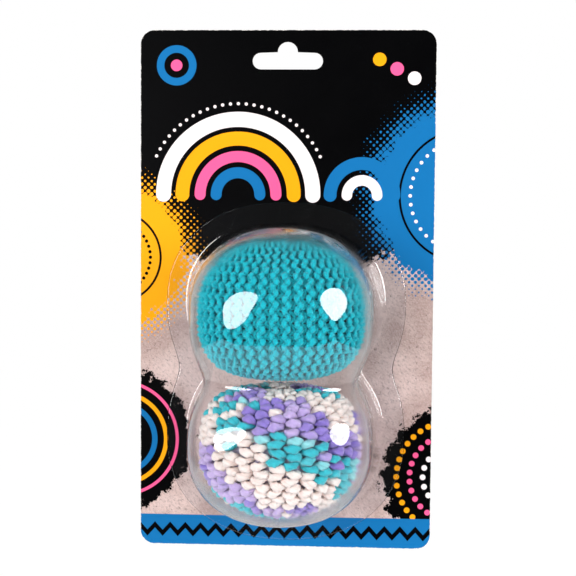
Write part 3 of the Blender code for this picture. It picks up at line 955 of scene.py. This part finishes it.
def make_twist_tree():
    """Plied yarn along the edges of a mesh, for the drawn yarns and the knots."""
    tree, size, out = geometry_tree("twisted_yarn", {"Yarn diameter": "Float", "Finish": "Material"})
    curve = tree.get("GeometryNodeMeshToCurve", 0, {0: size["Geometry"]})
    curve = tree.stored(curve, "dye", CREAM, "FLOAT_COLOR")
    yarn = spin_yarn(tree, curve, size["Yarn diameter"], 1.0, size["Finish"])
    tree.feed(out, yarn)
    return tree


def make_drawn_yarn(bag, place, twist, finish):
    node = f"{bag.name}_{place}_draw_yarn"
    low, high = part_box(node)
    centre = (low + high) / 2
    yarn = high.z - low.z
    across = (high.x - low.x - yarn) / 2
    points = []
    for step in range(DRAW_POINTS):
        angle = math.tau * step / DRAW_POINTS
        points.append(centre + Vector((across * math.cos(angle), across * math.sin(angle), 0)))
    values = {"Yarn diameter": yarn, "Finish": finish}
    made = grown(f"{bag.name}_{place}_gather", polyline("ring", points, closed=True), twist, values)
    return made, node


def make_knot(bag, twist, finish):
    node = f"{bag.name}_closing_knot"
    low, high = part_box(node)
    centre = (low + high) / 2
    loop = (high.z - low.z - KNOT_YARN) / 2
    points = []
    for step in range(KNOT_POINTS):
        angle = math.tau * step / KNOT_POINTS
        distance = loop * (2 + math.cos(3 * angle))
        rise = loop * math.sin(3 * angle)
        points.append(centre + Vector((distance * math.cos(2 * angle), distance * math.sin(2 * angle), rise)))
    values = {"Yarn diameter": KNOT_YARN, "Finish": finish}
    return grown(bag.name + "_knot", polyline("knot", points, closed=True), twist, values), node


def make_liner(bag, finish):
    """A thin sewn bag round the pellets, gathered at its open neck, with a seam down the back."""
    inset = COVER_YARNS_SHARE * bag.yarn + LINER_DEPTH
    rows = bag.meridian(inset, LINER_ROWS)
    work = bmesh.new()
    rings = []
    for distance, _, height in rows:
        ring = []
        neck = max(0, 1 - distance / (LINER_GATHER_SHARE * bag.radius)) if height > 0 else 0
        for side in range(LINER_SIDES):
            angle = math.tau * side / LINER_SIDES
            pleat = PLEAT_DEPTH * neck * (0.5 + 0.5 * math.cos(LINER_PLEATS * angle))
            seam = SEAM_RISE * max(0, 1 - abs(side - LINER_SIDES / 4) / SEAM_STEPS)
            reach = distance - pleat - LINER_EASE + seam
            spot = Vector((reach * math.cos(angle), reach * math.sin(angle), height))
            ring.append(work.verts.new(bag.centre + spot))
        rings.append(ring)
    foot = work.verts.new(bag.centre + Vector((0, 0, rows[-1][2])))
    for side in range(LINER_SIDES):
        following = (side + 1) % LINER_SIDES
        for above, below in zip(rings, rings[1:]):
            work.faces.new((above[side], above[following], below[following], below[side]))
        work.faces.new((rings[-1][side], rings[-1][following], foot))
    bmesh.ops.recalc_face_normals(work, faces=work.faces)
    return walled(bag.name + "_sewn_liner", work, finish, LINER_CLOTH)


def make_liner_finish(name, dark, light):
    """Thin woven cloth in its cover's colours, darker than a plain liner: where it shows through the gaps
    between the knitted loops, its colour is partly painted shade.
    """
    finish, tree, shader = material(name)
    place = tree.get("ShaderNodeTexCoord", "Object")
    x, y, z = tree.separate(place)
    weave = tree.math("SINE", (x + y) * 9000) * tree.math("SINE", z * 9000)
    tone = tree.ramp(weave, -1.0, 1.0)
    tree.feed(shader.inputs["Base Color"], tree.mix(dark, light, tone))
    tree.feed(shader.inputs["Roughness"], 0.55 + 0.1 * tone)
    tree.feed(shader.inputs["Normal"], tree.bump(0.4, 0.04 * MM, weave))
    return finish


def make_pellet_tree():
    """Loose plastic pellets that fill a closed mesh, each turned its own way."""
    sizes = {"Pellet size": "Float", "Spacing": "Float", "Seed": "Int", "Finish": "Material"}
    tree, size, out = geometry_tree("pellet_fill", sizes)
    filled = {
        "Mesh": size["Geometry"], "Density": 1.0, "Interior Band Width": 0.1, "Voxel Size": PELLET_VOXEL,
    }
    volume = tree.get("GeometryNodeMeshToVolume", 0, filled, resolution_mode="VOXEL_SIZE")
    spacing = tree.combine(size["Spacing"], size["Spacing"], size["Spacing"])
    spread = {"Volume": volume, "Spacing": spacing, "Threshold": 0.1}
    points = tree.get("GeometryNodeDistributePointsInVolume", 0, spread, mode="DENSITY_GRID")
    sides = {"Vertices": 7, "Radius": size["Pellet size"] * 0.5, "Depth": size["Pellet size"] * 0.8}
    bead = tree.get("GeometryNodeMeshCylinder", 0, sides)
    angles = {0: (0, 0, 0), 1: (6.3, 6.3, 6.3), "Seed": size["Seed"]}
    turn = tree.get("FunctionNodeRandomValue", 0, angles, data_type="FLOAT_VECTOR")
    scale = tree.get("FunctionNodeRandomValue", 1, {2: 0.82, 3: 1.0, "Seed": size["Seed"] + 1})
    scattered = {"Points": points, "Instance": bead, "Rotation": turn, "Scale": scale}
    beads = tree.get("GeometryNodeInstanceOnPoints", 0, scattered)
    beads = tree.get("GeometryNodeRealizeInstances", 0, {0: beads})
    beads = tree.get("GeometryNodeSetMaterial", 0, {"Geometry": beads, "Material": size["Finish"]})
    tree.feed(out, beads)
    return tree


def make_pellet_finish():
    finish, tree, shader = material("plastic_pellets")
    place = tree.get("ShaderNodeTexCoord", "Object")
    tone = tree.noise(place, 900.0, 2.0)
    tree.feed(shader.inputs["Base Color"], tree.mix(srgb(206, 206, 200), srgb(232, 230, 222), tone))
    tree.feed(shader.inputs["Roughness"], 0.4 + 0.2 * tone)
    return finish


def merged_copy(node):
    """The mesh of a CAD node with its loose triangles joined."""
    work = bmesh.new()
    work.from_mesh(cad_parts[node].data)
    bmesh.ops.remove_doubles(work, verts=work.verts, dist=0.001 * MM)
    return finished_mesh(node + "_merged", work)


# The pack

bpy.context.scene.view_settings.view_transform = "Standard"
make_camera()
make_table()
make_world()
make_lamp("left_soft_box", -36, 3.5, 25, width=0.46, height=0.27, radiance=9.0, glare=8.5)
make_lamp("right_soft_box", 57, 9, 0, width=0.45, height=0.29, radiance=7.5, glare=12.0)

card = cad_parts["backing_card"]
card_finish = make_card_finish()
for material_slot in card.material_slots:
    material_slot.material = card_finish

upper = Footbag("upper", rows=86, stitches=19, points=14, yarn=1.8 * MM, pressed_end=-1)
lower = Footbag("lower", rows=30, stitches=13, points=22, yarn=2.75 * MM, pressed_end=1)
knit, twist, pellets = make_knit_tree(), make_twist_tree(), make_pellet_tree()
fibre_group = make_fibre_group()
teal_yarn = make_yarn_finish("teal_yarn", fibre_group, srgb(20, 188, 203), (0.55, 0.9, 0.95, 1), 0.6)
mixed_yarn = make_yarn_finish("mixed_yarn", fibre_group, "dye", (1.0, 0.94, 0.96, 1), 0.7)
# Both liner cloths are darkened: they show through the gaps between the loops and stand there as painted
# shade.
teal_cloth_gap_shade = make_liner_finish("teal_liner_cloth_gap_shade", srgb(8, 92, 108), srgb(14, 118, 134))
mauve_cloth_gap_shade = make_liner_finish("mauve_liner_cloth_gap_shade", srgb(150, 140, 164), srgb(186, 176, 196))
pellet_finish = make_pellet_finish()
tight_loops = {
    "Loop depth": 0.70 * upper.yarn, "Loop reach": 0.87, "Tip width": 0.070, "Leg fall": 0.50,
    "Crossing fall": 0.15, "Valley fall": 0.35, "Turning": 1.0, "Stagger": 0.0, "Bump swell": 0.14,
    "Leg swell": 0.0, "Sway": 0.0, "Slack": 0.14, "Dye seed": 0.0, "Widening": 1.115,
}
slack_loops = {
    "Loop depth": 0.62 * lower.yarn, "Loop reach": 0.47, "Tip width": 0.072, "Leg fall": -0.30,
    "Crossing fall": 0.0, "Valley fall": -0.80, "Turning": 0.0, "Stagger": 0.25, "Bump swell": -0.04,
    "Leg swell": 0.22, "Sway": 0.14, "Slack": 0.50, "Dye seed": 4779.96, "Widening": 1.065,
}
looks = (
    (upper, teal_yarn, "teal_yarn", tight_loops, teal_cloth_gap_shade),
    (lower, mixed_yarn, "mixed_yarn", slack_loops, mauve_cloth_gap_shade),
)
for bag, yarn_finish, slot, knitting, cloth in looks:
    values = {
        "Rows": bag.rows, "Stitches": bag.stitches, "Points per stitch": bag.points,
        "Yarn diameter": bag.yarn, "Seed": KNIT_SEED, "Centre": bag.centre, "Finish": yarn_finish, **knitting,
    }
    meridian = polyline("meridian", bag.meridian(0, MERIDIAN_POINTS))
    cover = grown(bag.name + "_cover_knit", meridian, knit, values)
    placed(cover, bag.body, slot, bag.name + "_knitted_cover")
    for place in ("top", "foot"):
        gather, node = make_drawn_yarn(bag, place, twist, yarn_finish)
        placed(gather, bag.body, slot, node)
    knot, node = make_knot(bag, twist, yarn_finish)
    placed(knot, bag.body, slot, node)
    placed(make_liner(bag, cloth), bag.body, "liner", bag.name + "_liner")
    values = {
        "Pellet size": PELLET_SIZE, "Spacing": PELLET_SPACING, "Seed": PELLET_SEED, "Finish": pellet_finish,
    }
    beads = grown(bag.name + "_pellets", merged_copy(bag.name + "_pellet_fill"), pellets, values)
    placed(beads, bag.body, "pellets", bag.name + "_pellet_fill")

blister = make_blister(make_clear_finish())
placed(blister, "blister", "blister", "blister_shell")
